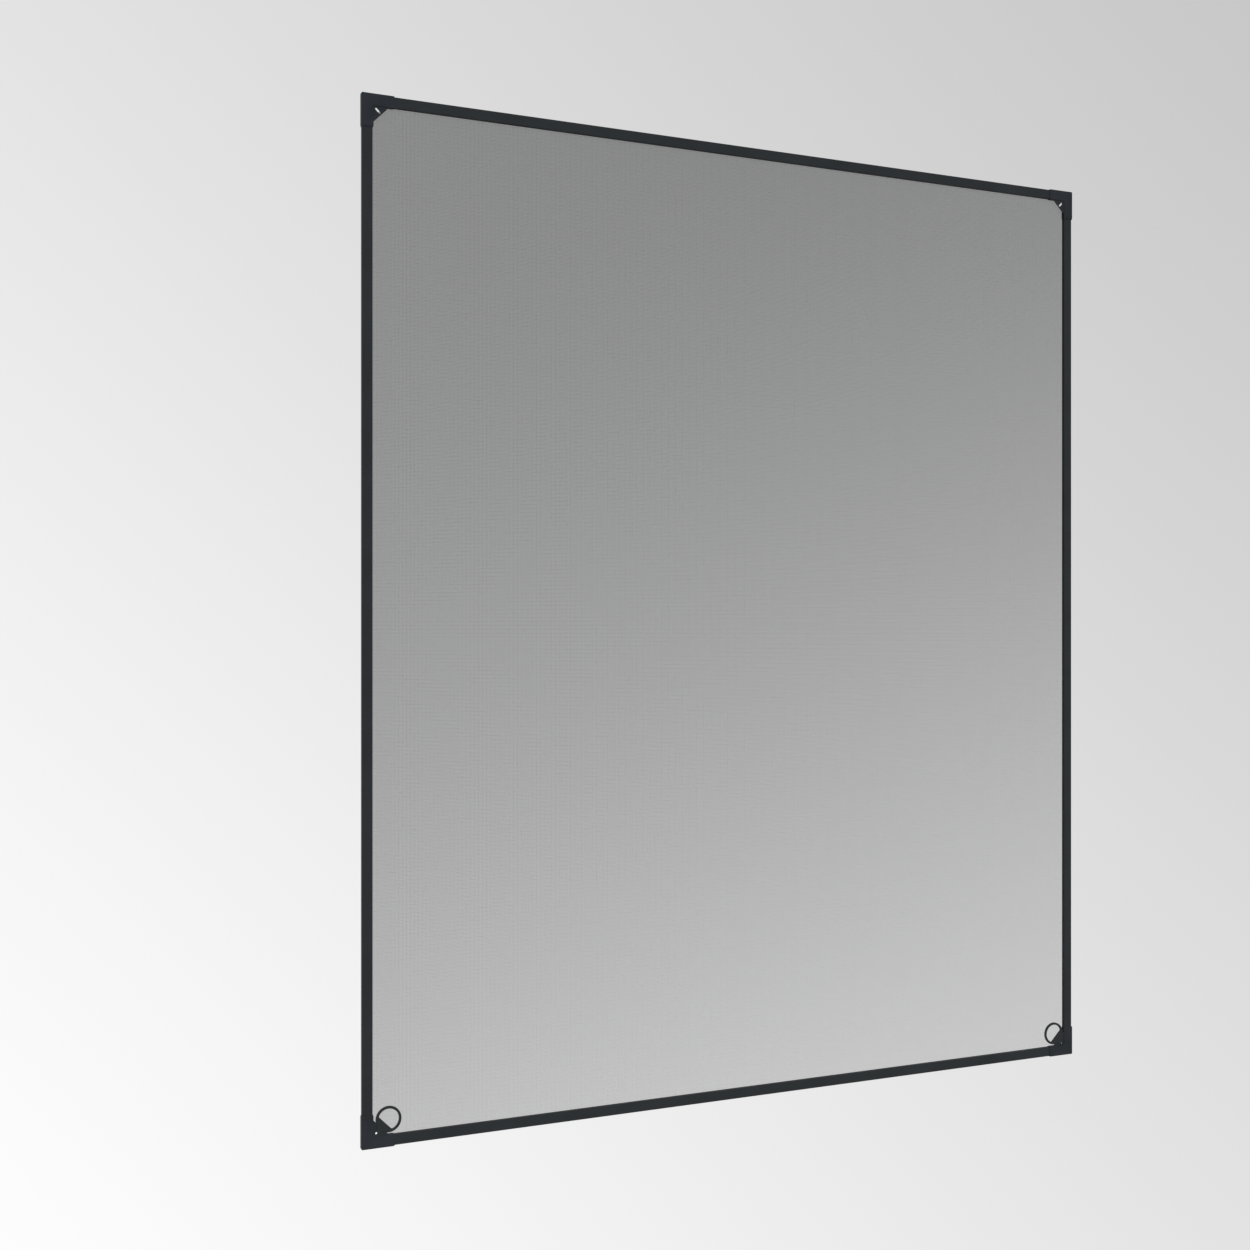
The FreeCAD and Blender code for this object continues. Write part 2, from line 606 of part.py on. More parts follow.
def make_cloth():
    """Woven cloth: an eight-sided sheet with its straight edges folded down into the rails' grooves."""
    body = new_body("screen_cloth")
    thickness = size("cloth_thickness")
    fold_inner = f"({lip_outer} - {thickness})"
    cut = f"({arm_width} + {web_tip} - {size('web_cover')} - {fold_inner})"
    edge_x = f"({half_width} - {fold_inner})"
    edge_z = f"({half_height} - {fold_inner})"
    cut_x = f"({half_width} - {cut})"
    cut_z = f"({half_height} - {cut})"
    quarter = [(edge_x, cut_z), (cut_x, edge_z)]
    sheet_corners = list(quarter)
    sheet_corners += [(f"-{across}", up) for across, up in reversed(quarter)]
    sheet_corners += [(f"-{across}", f"-{up}") for across, up in quarter]
    sheet_corners += [(across, f"-{up}") for across, up in reversed(quarter)]
    flat = front_sketch(body, "flat", lip_back)
    polygon(flat, sheet_corners)
    pad(body, flat, thickness)

    # Openings of the weave, one in each field of the drawn threads
    inner_x = f"({half_width} - {rail_inner})"
    inner_z = f"({half_height} - {rail_inner})"
    pitch_x = f"(2 * {inner_x} / {size('openings_across')})"
    pitch_z = f"(2 * {inner_z} / {size('openings_up')})"
    half_gap = f"({size('mesh_opening')} / 2)"
    gaps = front_sketch(body, "openings", lip_back)
    centre_x = f"({pitch_x} / 2 - {inner_x})"
    centre_z = f"({pitch_z} / 2 - {inner_z})"
    rectangle(
        gaps,
        f"{centre_x} - {half_gap}",
        f"{centre_z} - {half_gap}",
        f"{centre_x} + {half_gap}",
        f"{centre_z} + {half_gap}",
    )
    grid(
        body,
        pocket(body, gaps, thickness),
        ("X_Axis", f"-2 * {centre_x}", size("openings_across")),
        ("Z_Axis", f"-2 * {centre_z}", size("openings_up")),
    )

    # Down the lip and across the floor of the groove, the same on opposite sides
    floor = size("groove_floor")
    for name, plane_role, half, reach in (
        ("side_folds", "XY_Plane", half_width, f"2 * {cut_z}"),
        ("end_folds", "YZ_Plane", half_height, f"2 * {cut_x}"),
    ):
        lip_wall = f"({half} - {lip_outer})"
        inside = f"({half} - {fold_inner})"
        far_wall = f"({half} - {groove_outer} - {size('spline_gap')})"
        fold = [
            (lip_wall, floor),
            (far_wall, floor),
            (far_wall, f"({floor} + {thickness})"),
            (inside, f"({floor} + {thickness})"),
            (inside, lip_back),
            (lip_wall, lip_back),
        ]
        mirrored = [(f"-{across}", depth) for across, depth in reversed(fold)]
        folds = new_sketch(body, name, plane_role, "0")
        for outline in (fold, mirrored):
            if plane_role == "YZ_Plane":
                outline = [(depth, across) for across, depth in reversed(outline)]
            polygon(folds, outline)
        pad(body, folds, reach, towards_back=False, both_ways=True)

    # Threads drawn coarse: upright ones on the front, level ones on the back
    step_x = f"({pitch_x} / {size('threads_per_opening')})"
    step_z = f"({pitch_z} / {size('threads_per_opening')})"
    half_thread = f"({size('thread_width')} / 2)"
    proud = size("thread_proud")
    end_x = f"({inner_x} - {size('thread_inset')})"
    end_z = f"({inner_z} - {size('thread_inset')})"
    first_x = f"({step_x} - {inner_x})"
    first_z = f"({step_z} - {inner_z})"

    warp = front_sketch(body, "warp_thread", f"{lip_back} - {proud}")
    rectangle(warp, f"{first_x} - {half_thread}", f"-{end_z}", f"{first_x} + {half_thread}", end_z)
    count = f"{size('openings_across')} * {size('threads_per_opening')} - 1"
    row_of(body, pad(body, warp, proud), "X_Axis", f"-2 * {first_x}", count)

    weft = front_sketch(body, "weft_thread", f"{lip_back} + {thickness}")
    rectangle(weft, f"-{end_x}", f"{first_z} - {half_thread}", end_x, f"{first_z} + {half_thread}")
    count = f"{size('openings_up')} * {size('threads_per_opening')} - 1"
    row_of(body, pad(body, weft, proud), "Z_Axis", f"-2 * {first_z}", count)
    return body


for side_name in SIDES:
    make_rail(side_name)
    make_magnet(side_name)
    make_spline(side_name)
for corner_name, side_name in CORNERS.items():
    make_corner(corner_name, side_name)
make_ring("left", "bottom")
make_ring("right", "right")
make_cloth()
doc.recompute()

os.makedirs("parts", exist_ok=True)
for item in doc.Objects:
    failed = [state for state in item.State if state in ("Invalid", "Error")]
    if failed:
        raise RuntimeError(f"{item.Name} is {failed}")
for body in doc.findObjects("PartDesign::Body"):
    if body.Shape.isNull() or not body.Shape.isValid():
        raise RuntimeError(f"{body.Label} has no valid shape")
    if len(body.Shape.Solids) != 1:
        raise RuntimeError(f"{body.Label} has {len(body.Shape.Solids)} solids")
for body in doc.findObjects("PartDesign::Body"):
    body.Shape.exportStep(os.path.join("parts", f"{body.Label}.step"))
    print(body.Label, round(body.Shape.Volume, 1), "mm3", len(body.Shape.Faces), "faces")
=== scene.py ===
"""Dresses a magnetic insect screen: powder-coated rails, moulded corner pieces and pull rings, magnet strips,
splines and stretched fly cloth, in a pale studio. Laid out as an add-on and run as a script."""

import math

import bmesh
import bpy
from bpy.props import FloatProperty, FloatVectorProperty, IntProperty, PointerProperty
from bpy.types import Operator, Panel, PropertyGroup
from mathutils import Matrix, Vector


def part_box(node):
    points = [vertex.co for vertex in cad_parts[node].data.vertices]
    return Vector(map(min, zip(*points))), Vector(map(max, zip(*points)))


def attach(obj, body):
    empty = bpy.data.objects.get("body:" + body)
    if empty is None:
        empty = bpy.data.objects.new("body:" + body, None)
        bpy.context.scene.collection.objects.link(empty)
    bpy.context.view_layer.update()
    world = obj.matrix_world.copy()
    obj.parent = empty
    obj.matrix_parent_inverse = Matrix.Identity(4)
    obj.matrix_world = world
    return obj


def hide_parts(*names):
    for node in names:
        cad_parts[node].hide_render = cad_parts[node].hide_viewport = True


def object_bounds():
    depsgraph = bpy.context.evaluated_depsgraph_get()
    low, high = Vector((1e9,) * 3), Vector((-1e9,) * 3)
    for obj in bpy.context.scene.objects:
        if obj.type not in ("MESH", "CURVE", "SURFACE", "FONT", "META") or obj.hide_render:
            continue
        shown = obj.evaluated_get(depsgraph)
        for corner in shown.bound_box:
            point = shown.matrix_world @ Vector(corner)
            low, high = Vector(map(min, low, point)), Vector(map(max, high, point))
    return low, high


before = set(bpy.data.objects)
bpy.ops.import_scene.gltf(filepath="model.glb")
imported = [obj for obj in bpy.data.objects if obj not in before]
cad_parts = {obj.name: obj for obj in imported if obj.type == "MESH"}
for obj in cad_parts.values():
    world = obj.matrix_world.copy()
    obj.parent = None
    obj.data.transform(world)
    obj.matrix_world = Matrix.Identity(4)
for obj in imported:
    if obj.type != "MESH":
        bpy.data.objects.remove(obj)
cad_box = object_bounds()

bl_info = {
    "name": "Insect Screen",
    "version": (1, 0, 0),
    "blender": (4, 5, 0),
    "location": "3D View > Sidebar > Insect Screen",
    "description": "Finishes and fly cloth of a magnetic insect screen",
    "category": "Object",
}

MM = 0.001
BODY = "root"
CLOTH_NODE = "screen_cloth"

# width of the camera's sensor in millimetres
SENSOR = 36.0
# metres from the screen to a lamp's symbol: the lamps shine as from far away, wherever they stand
LAMP_DISTANCE = 4.0

# nearly all values of one noise texture lie between these two
NOISE_LOW, NOISE_HIGH = 0.3, 0.7
# nearly all sums of two noise textures lie between these two
SUM_LOW, SUM_HIGH = 0.7, 1.3
# how many grains long the slow drift of a grained surface's colour is
DRIFT = 40
# how much a grained surface's roughness goes up and down
ROUGHNESS_SPREAD = 0.06


def linear(hex_colour):
    """The linear red, green and blue of an sRGB hex colour such as "#2f3234"."""
    channels = [int(hex_colour[i:i + 2], 16) / 255 for i in (1, 3, 5)]
    return [c / 12.92 if c <= 0.04045 else ((c + 0.055) / 1.055) ** 2.4 for c in channels]


def colour_property(name, description, hex_colour):
    return FloatVectorProperty(name=name, description=description, subtype="COLOR", size=3, min=0, max=1,
                               default=linear(hex_colour))


def number_property(name, description, value, **more):
    return FloatProperty(name=name, description=description, default=value, **more)


def share_property(name, description, value):
    return number_property(name, description, value, subtype="FACTOR", min=0, max=1)


def length_property(name, description, metres):
    return number_property(name, description, metres, unit="LENGTH", precision=5, min=0)


def angle_property(name, description, degrees):
    return number_property(name, description, math.radians(degrees), unit="ROTATION")


def direction_property(name, description, direction):
    return FloatVectorProperty(name=name, description=description, subtype="XYZ", default=direction)


class ScreenFinishes(PropertyGroup):
    """Colours of the screen's materials."""

    powder_coat: colour_property("Powder coat", "Anthracite powder coat of the rails", "#26292b")
    corner_plastic: colour_property("Corner plastic", "Moulded plastic of the corner pieces", "#26292d")
    ring_plastic: colour_property("Ring plastic", "Moulded plastic of the pull rings", "#222527")
    magnet: colour_property("Magnet strip", "Ferrite-filled flexible strip", "#24211f")
    spline: colour_property("Spline", "Black rubber that holds the cloth in its groove", "#191919")
    yarn: colour_property("Yarn", "Coated glass yarn of the fly cloth", "#37393a")


class ClothSizes(PropertyGroup):
    """Sizes of the fly cloth. The rest comes from the cloth's place in the frame."""

    thickness: length_property("Thickness", "Thickness of the cloth", 0.3 * MM)
    ridge: length_property("Ridge", "How far the part's drawn threads stand off the cloth's back", 0.12 * MM)
    turn_in: length_property("Turn-in", "From the fold at the groove to the cut edge on its floor", 2.6 * MM)
    corner_cut: length_property("Corner cut", "How much of each side the cut-off corner takes", 15.75 * MM)
    fold_radius: length_property("Fold radius", "Rounding of the fold over the groove's lip", 0.3 * MM)
    yarn_pitch: length_property("Yarn pitch", "Distance between the real yarns", 1.6 * MM)
    yarn_width: length_property("Yarn width", "Diameter of one yarn", 0.28 * MM)
    yarn_relief: length_property("Yarn relief", "How far the woven yarns stand out of the sheet", 0.07 * MM)
    yarn_sharpness: number_property("Yarn sharpness", "Power of the squared cosine: the higher, the thinner a "
                                    "woven yarn in its pitch", 7.0)
    drawn_every: IntProperty(name="Drawn every", description="One yarn in this many is a raised thread",
                             min=1, default=3)
    # cover above and below set the veil's painted light: denser at the top left, thinner towards the lower right,
    # while the real weave is even
    cover_above: share_property("Cover above", "Share of light that one face of the cloth stops, where the veil "
                                "starts at the top left", 0.436)
    cover_below: share_property("Cover below", "The same where the veil ends past the bottom right", 0.111)
    sideways: share_property("Sideways", "How much of the change from top to bottom there is from left to right "
                             "too", 0.55)
    veil_start: number_property("Veil start", "Where the change starts, in heights down from the top left", 0.05)
    veil_end: number_property("Veil end", "Where the change would end, in heights down from the top left", 1.85)
    opening_cover: number_property("Opening cover", "Cover of an opening between yarns, against the mean", 0.93)
    crossing_cover: number_property("Crossing cover", "Cover where two yarns cross, against the mean", 1.26)
    thread_cover: share_property("Thread cover", "Cover of a raised thread's face, against the sheet's", 0.15)


class StageSettings(PropertyGroup):
    """Camera, light and surroundings."""

    camera_place: FloatVectorProperty(name="Camera", description="Place of the lens", subtype="TRANSLATION",
                                      unit="LENGTH", default=(-0.8840, -1.6818, -0.0117))
    camera_yaw: angle_property("Yaw", "Turn of the level camera to the right of straight ahead", 22.87)
    lens: number_property("Lens", "Focal length in millimetres on a 36 mm sensor", 43.1)
    shift_up: number_property("Shift", "Vertical shift of the lens, as a share of the frame", 0.0051)
    backdrop_light: colour_property("Backdrop low", "Backdrop low on the left", "#fdfdfd")
    backdrop_middle: colour_property("Backdrop middle", "Backdrop straight ahead", "#e3e3e3")
    backdrop_dark: colour_property("Backdrop high", "Backdrop high on the right", "#c8c8c8")
    studio: number_property("Studio light", "Strength of the even light from all around", 0.32, min=0)
    key: number_property("Key light", "Strength of the broad light from the front", 2.9, min=0)
    key_from: direction_property("Key from", "Direction from the screen to the key light", (0.05, -1.0, 0.7))
    back_share: share_property("Back light", "Strength of the broad light from behind, against the key's", 0.75)
    back_from: direction_property("Back from", "Direction from the screen to the back light", (0.3, 1.0, 0.8))
    lamp_spread: angle_property("Lamp spread", "Angle across which each lamp is seen", 50)
    floor_drop: length_property("Floor drop", "How far the floor is below the hanging screen", 1.0)
    floor_radius: length_property("Floor radius", "Radius of the round floor", 1.85)
    floor_colour: colour_property("Floor", "Pale matt floor", "#d0d0d0")
    fade_start: share_property("Fade start", "Share of the floor's radius where it starts to fade", 0.45)
    fade_end: share_property("Fade end", "Share of the floor's radius where it has faded out", 0.9)


def add_node(tree, kind, links=None, inputs=None, **attributes):
    """Adds a node, sets its attributes and input values, and links {input: output socket} into it."""
    node = tree.nodes.new(kind)
    for name, value in attributes.items():
        setattr(node, name, value)
    for name, value in (inputs or {}).items():
        node.inputs[name].default_value = value
    for name, socket in (links or {}).items():
        tree.links.new(socket, node.inputs[name])
    return node


def empty_material(name):
    """A new material without nodes, and its tree."""
    material = bpy.data.materials.new(name)
    material.use_nodes = True
    material.node_tree.nodes.clear()
    return material, material.node_tree


def scale_for(size):
    """The Scale of a noise texture on Object coordinates whose grains are this many metres across."""
    return 1 / size


def opaque(colour):
    return (*colour, 1)


def grained_surface(name, colour, roughness, grain, depth, mottle_and_pit_shade=0.12, specular=0.12):
    """An even, dull surface with a fine random grain: its colour, its gloss and its relief all follow noise whose
    cells are grain metres across, so that hollows are duller, and darker by painted shade. The relief is depth
    metres high. The colour goes up and down by a given share of itself, partly as random tone and partly as painted
    shade in the hollows, and also drifts over longer stretches."""
    material, tree = empty_material(name)
    place = add_node(tree, "ShaderNodeTexCoord").outputs["Object"]
    fine = add_node(tree, "ShaderNodeTexNoise", {"Vector": place},
                    {"Scale": scale_for(grain), "Detail": 3.0, "Roughness": 0.6})
    broad = add_node(tree, "ShaderNodeTexNoise", {"Vector": place},
                     {"Scale": scale_for(DRIFT * grain), "Detail": 2.0, "Roughness": 0.5})
    darker = [c * (1 - mottle_and_pit_shade) for c in colour]
    lighter = [c * (1 + mottle_and_pit_shade) for c in colour]
    # painted shade: the fine noise that sinks the relief also darkens the colour, so the hollows of the grain are
    # painted darker; the broad noise adds random tone
    spots = add_node(tree, "ShaderNodeMath", {0: fine.outputs["Fac"], 1: broad.outputs["Fac"]}, operation="ADD")
    share = add_node(tree, "ShaderNodeMapRange", {"Value": spots.outputs["Value"]},
                     {"From Min": SUM_LOW, "From Max": SUM_HIGH})
    tone = add_node(tree, "ShaderNodeMix", {0: share.outputs["Result"]}, data_type="RGBA")
    tone.inputs[6].default_value = opaque(darker)
    tone.inputs[7].default_value = opaque(lighter)
    dull = add_node(tree, "ShaderNodeMapRange", {"Value": fine.outputs["Fac"]},
                    {"From Min": NOISE_LOW, "From Max": NOISE_HIGH,
                     "To Min": roughness + ROUGHNESS_SPREAD, "To Max": roughness - ROUGHNESS_SPREAD})
    relief = add_node(tree, "ShaderNodeBump", {"Height": fine.outputs["Fac"]}, {"Strength": 1.0, "Distance": depth})
    surface = add_node(tree, "ShaderNodeBsdfPrincipled",
                       {"Base Color": tone.outputs[2], "Roughness": dull.outputs["Result"],
                        "Normal": relief.outputs["Normal"]},
                       {"Specular IOR Level": specular, "IOR": 1.5})
    add_node(tree, "ShaderNodeOutputMaterial", {"Surface": surface.outputs["BSDF"]})
    return material


def powder_coat(colour):
    """Polyester powder coat on extruded aluminium, sprayed dry and baked: it flows into a soft orange peel about
    0.5 mm across, which breaks up the reflections and leaves a matt, slightly cool anthracite. The peel is
    drawn at 1.2 mm, because half a millimetre is less than a pixel."""
    return grained_surface("Powder-coated aluminium", colour, roughness=0.52, grain=1.2 * MM, depth=0.25 * MM)


def corner_plastic(colour):
    """ABS moulded in a spark-eroded tool: a fine matt grain that hides flow marks and gives a dry, even dark
    grey. The grain of 0.1 mm is drawn at 0.8 mm to show at all."""
    return grained_surface("Moulded ABS with eroded grain", colour, roughness=0.58, grain=0.8 * MM, depth=0.22 * MM,
                           mottle_and_pit_shade=0.2)


def ring_plastic(colour):
    """Acetal moulded in a smooth tool: a springy plastic, smoother than the corner pieces', with a satin sheen."""
    return grained_surface("Moulded satin acetal", colour, roughness=0.42, grain=1.5 * MM, depth=0.1 * MM,
                           mottle_and_pit_shade=0.08, specular=0.2)


def flexible_magnet(colour):
    """Ferrite powder bound in rubber and extruded as a strip: brown-black, dusty and matt."""
    return grained_surface("Extruded ferrite rubber", colour, roughness=0.72, grain=0.6 * MM, depth=0.15 * MM,
                           mottle_and_pit_shade=0.25)


def spline_rubber(colour):
    """EPDM rubber extruded as a cord with barbs: black, with the faint skin of an extruder."""
    return grained_surface("Extruded EPDM rubber", colour, roughness=0.6, grain=0.9 * MM, depth=0.12 * MM)


def dress(names, material):
    """Gives CAD nodes their material. Their meshes stay as they are."""
    for name in names:
        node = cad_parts[name]
        node.material_slots[0].material = material


def nodes_named(prefix):
    return sorted(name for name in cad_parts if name.startswith(prefix))


class SCREEN_OT_stage(Operator):
    """Camera, lamps, backdrop and floor"""

    bl_idname = "screen_kit.stage"
    bl_label = "Stage"

    def execute(self, context):
        scene, stage = context.scene, context.scene.screen_stage
        scene.view_settings.view_transform = "Standard"
        make_camera(scene, stage)
        make_backdrop(scene, stage)
        make_lamps(scene, stage)
        make_floor(scene, stage)
        return {"FINISHED"}


def make_camera(scene, stage):
    data = bpy.data.cameras.new("Camera")
    data.sensor_width = SENSOR
    data.lens = stage.lens
    data.shift_y = stage.shift_up
    camera = bpy.data.objects.new("Camera", data)
    camera.location = stage.camera_place
    camera.rotation_euler = (math.radians(90), 0, -stage.camera_yaw)
    scene.collection.objects.link(camera)
    scene.camera = camera


def make_backdrop(scene, stage):
    """A world that lights evenly, and shows a backdrop that darkens towards the upper right."""
    world = bpy.data.worlds.new("Studio")
    scene.world = world
    world.use_nodes = True
    tree = world.node_tree
    tree.nodes.clear()
    direction = add_node(tree, "ShaderNodeTexCoord").outputs["Generated"]
    towards_dark = (math.cos(stage.camera_yaw), -math.sin(stage.camera_yaw), 1)
    slope = add_node(tree, "ShaderNodeVectorMath", {0: direction}, operation="DOT_PRODUCT")
    slope.inputs[1].default_value = towards_dark
    # how far the picture's edge is to the side for each metre ahead, and the slope at its upper right corner
    slope_at_edge = SENSOR / 2 / stage.lens
    reach = 2 * slope_at_edge / math.sqrt(1 + 2 * slope_at_edge ** 2)
    along = add_node(tree, "ShaderNodeMapRange", {"Value": slope.outputs["Value"]},
                     {"From Min": -reach, "From Max": reach})
    ramp = add_node(tree, "ShaderNodeValToRGB", {"Fac": along.outputs["Result"]})
    ramp.color_ramp.elements[0].color = opaque(stage.backdrop_light)
    ramp.color_ramp.elements[1].color = opaque(stage.backdrop_dark)
    ramp.color_ramp.elements.new(0.5).color = opaque(stage.backdrop_middle)
    shown = add_node(tree, "ShaderNodeBackground", {"Color": ramp.outputs["Color"]})
    even = add_node(tree, "ShaderNodeBackground", None, {"Color": (1, 1, 1, 1), "Strength": stage.studio})
    path = add_node(tree, "ShaderNodeLightPath")
    camera_or_gloss = add_node(tree, "ShaderNodeMath", {0: path.outputs["Is Camera Ray"],
                                                       1: path.outputs["Is Glossy Ray"]}, operation="MAXIMUM")
    seen = add_node(tree, "ShaderNodeMath", {0: camera_or_gloss.outputs["Value"],
                                            1: path.outputs["Is Transmission Ray"]}, operation="MAXIMUM")
    both = add_node(tree, "ShaderNodeMixShader", {0: seen.outputs["Value"], 1: even.outputs["Background"],
                                                 2: shown.outputs["Background"]})
    add_node(tree, "ShaderNodeOutputWorld", {"Surface": both.outputs["Shader"]})


def make_lamps(scene, stage):
    """Two broad, soft lights far away, so that all of the screen gets the same: the key from the front and
    above, and a weaker one from behind. Neither is mirrored in the gloss, which shows the backdrop alone."""
    for name, towards, share in (("Key", stage.key_from, 1.0), ("Back", stage.back_from, stage.back_share)):
        data = bpy.data.lights.new(name, "SUN")
        data.energy = stage.key * share
        data.angle = stage.lamp_spread
        lamp = bpy.data.objects.new(name, data)
        lamp.location = LAMP_DISTANCE * Vector(towards)
        lamp.rotation_euler = lamp.location.to_track_quat("Z", "Y").to_euler()
        lamp.visible_glossy = False
        scene.collection.objects.link(lamp)


def make_floor(scene, stage):
    """A round pale floor well below the hanging screen, which fades into the backdrop at its rim."""
    lowest = cad_box[0][2]
    shape = bmesh.new()
    bmesh.ops.create_circle(shape, cap_ends=True, segments=96, radius=stage.floor_radius)
    bmesh.ops.translate(shape, verts=shape.verts, vec=(0, 0, lowest - stage.floor_drop))
    mesh = bpy.data.meshes.new("floor")
    shape.to_mesh(mesh)
    shape.free()
    floor = bpy.data.objects.new("floor", mesh)
    scene.collection.objects.link(floor)
    material, tree = empty_material("Matt floor")
    place = add_node(tree, "ShaderNodeTexCoord").outputs["Object"]
    flat = add_node(tree, "ShaderNodeVectorMath", {0: place}, operation="MULTIPLY")
    flat.inputs[1].default_value = (1, 1, 0)
    radius = add_node(tree, "ShaderNodeVectorMath", {0: flat.outputs["Vector"]}, operation="LENGTH")
    fade = add_node(tree, "ShaderNodeMapRange", {"Value": radius.outputs["Value"]},
                    {"From Min": stage.fade_start * stage.floor_radius,
                     "From Max": stage.fade_end * stage.floor_radius},
                    interpolation_type="SMOOTHSTEP")
    matt = add_node(tree, "ShaderNodeBsdfDiffuse", None, {"Color": opaque(stage.floor_colour)})
    clear = add_node(tree, "ShaderNodeBsdfTransparent")
    both = add_node(tree, "ShaderNodeMixShader", {0: fade.outputs["Result"], 1: matt.outputs["BSDF"],
                                                 2: clear.outputs["BSDF"]})
    add_node(tree, "ShaderNodeOutputMaterial", {"Surface": both.outputs["Shader"]})
    mesh.materials.append(material)


class SCREEN_OT_rails(Operator):
    """Powder coat on the four rails"""

    bl_idname = "screen_kit.rails"
    bl_label = "Rails"

    def execute(self, context):
        finishes = context.scene.screen_finishes
        dress(nodes_named("rail_"), powder_coat(finishes.powder_coat))
        return {"FINISHED"}


class SCREEN_OT_corners(Operator):
    """Moulded plastic on the four corner pieces"""

    bl_idname = "screen_kit.corners"
    bl_label = "Corner pieces"

    def execute(self, context):
        finishes = context.scene.screen_finishes
        dress(nodes_named("corner_"), corner_plastic(finishes.corner_plastic))
        return {"FINISHED"}


class SCREEN_OT_rings(Operator):
    """Satin plastic on the two pull rings"""

    bl_idname = "screen_kit.rings"
    bl_label = "Pull rings"

    def execute(self, context):
        finishes = context.scene.screen_finishes
        dress(nodes_named("pull_ring_"), ring_plastic(finishes.ring_plastic))
        return {"FINISHED"}


class SCREEN_OT_strips(Operator):
    """Magnet strips and the splines that hold the cloth"""

    bl_idname = "screen_kit.strips"
    bl_label = "Magnet strips and splines"

    def execute(self, context):
        finishes = context.scene.screen_finishes
        dress(nodes_named("magnet_"), flexible_magnet(finishes.magnet))
        dress(nodes_named("spline_"), spline_rubber(finishes.spline))
        return {"FINISHED"}


def fly_cloth(name, colour, cloth, half_width, half_height, share=1.0):
    """Plain-woven glass yarn with a dull coating: each yarn stops light and the openings let it through, so it is a
    see-through veil. Its cover carries painted light: it grades from densest high on the left to thinnest towards
    the lower right, in place of the light that falls on the veil, while the real weave is even. The yarns are at
    their real pitch, and fade into an even veil a few steps away. A face of the piece has this share of the sheet's
    cover."""
    material, tree = empty_material(name)
    place = add_node(tree, "ShaderNodeTexCoord").outputs["Object"]
    # how far down and to the right of the middle: the whole height counts 1 and the whole width sideways
    way = add_node(tree, "ShaderNodeVectorMath", {0: place}, operation="DOT_PRODUCT")
    way.inputs[1].default_value = (cloth.sideways / (2 * half_width), 0, -1 / (2 * half_height))
    half_way = (1 + cloth.sideways) / 2
    # painted light: the cover grades from dense at the top left to thin at the lower right, in place of the light
    # falling on the veil
    painted_light_cover = add_node(tree, "ShaderNodeMapRange", {"Value": way.outputs["Value"]},
                       {"From Min": cloth.veil_start - half_way, "From Max": cloth.veil_end - half_way,
                        "To Min": share * cloth.cover_above, "To Max": share * cloth.cover_below},
                       interpolation_type="SMOOTHSTEP")
    half_turns = add_node(tree, "ShaderNodeVectorMath", {0: place}, operation="SCALE")
    half_turns.inputs["Scale"].default_value = math.pi / cloth.yarn_pitch
    waves = add_node(tree, "ShaderNodeVectorMath", {0: half_turns.outputs["Vector"]}, operation="COSINE")
    squares = add_node(tree, "ShaderNodeVectorMath", {0: waves.outputs["Vector"], 1: waves.outputs["Vector"]},
                       operation="MULTIPLY")
    wave = add_node(tree, "ShaderNodeSeparateXYZ", {0: squares.outputs["Vector"]})
    # to this power, the squared cosine is a peak about as wide as a yarn: 0.3 mm in a pitch of 1.6 mm
    warp, weft = (add_node(tree, "ShaderNodeMath", {0: wave.outputs[axis]}, {1: cloth.yarn_sharpness},
                           operation="POWER") for axis in "XZ")
    yarns = add_node(tree, "ShaderNodeMath", {0: warp.outputs["Value"], 1: weft.outputs["Value"]}, operation="ADD")
    # a yarn stops about a fifth more light than an opening does, and all together as much as an even veil
    density = add_node(tree, "ShaderNodeMapRange", {"Value": yarns.outputs["Value"]},
                       {"From Min": 0.0, "From Max": 2.0, "To Min": cloth.opening_cover,
                        "To Max": cloth.crossing_cover})
    cover = add_node(tree, "ShaderNodeMath", {0: painted_light_cover.outputs["Result"], 1: density.outputs["Result"]},
                     operation="MULTIPLY")
    relief = add_node(tree, "ShaderNodeBump", {"Height": yarns.outputs["Value"]},
                      {"Strength": 0.5, "Distance": cloth.yarn_relief})
    yarn = add_node(tree, "ShaderNodeBsdfPrincipled", {"Normal": relief.outputs["Normal"]},
                    {"Base Color": opaque(colour), "Roughness": 0.6, "IOR": 1.5, "Specular IOR Level": 0.2})
    opening = add_node(tree, "ShaderNodeBsdfTransparent")
    both = add_node(tree, "ShaderNodeMixShader", {0: cover.outputs["Value"], 1: opening.outputs["BSDF"],
                                                 2: yarn.outputs["BSDF"]})
    add_node(tree, "ShaderNodeOutputMaterial", {"Surface": both.outputs["Shader"]})
    return material


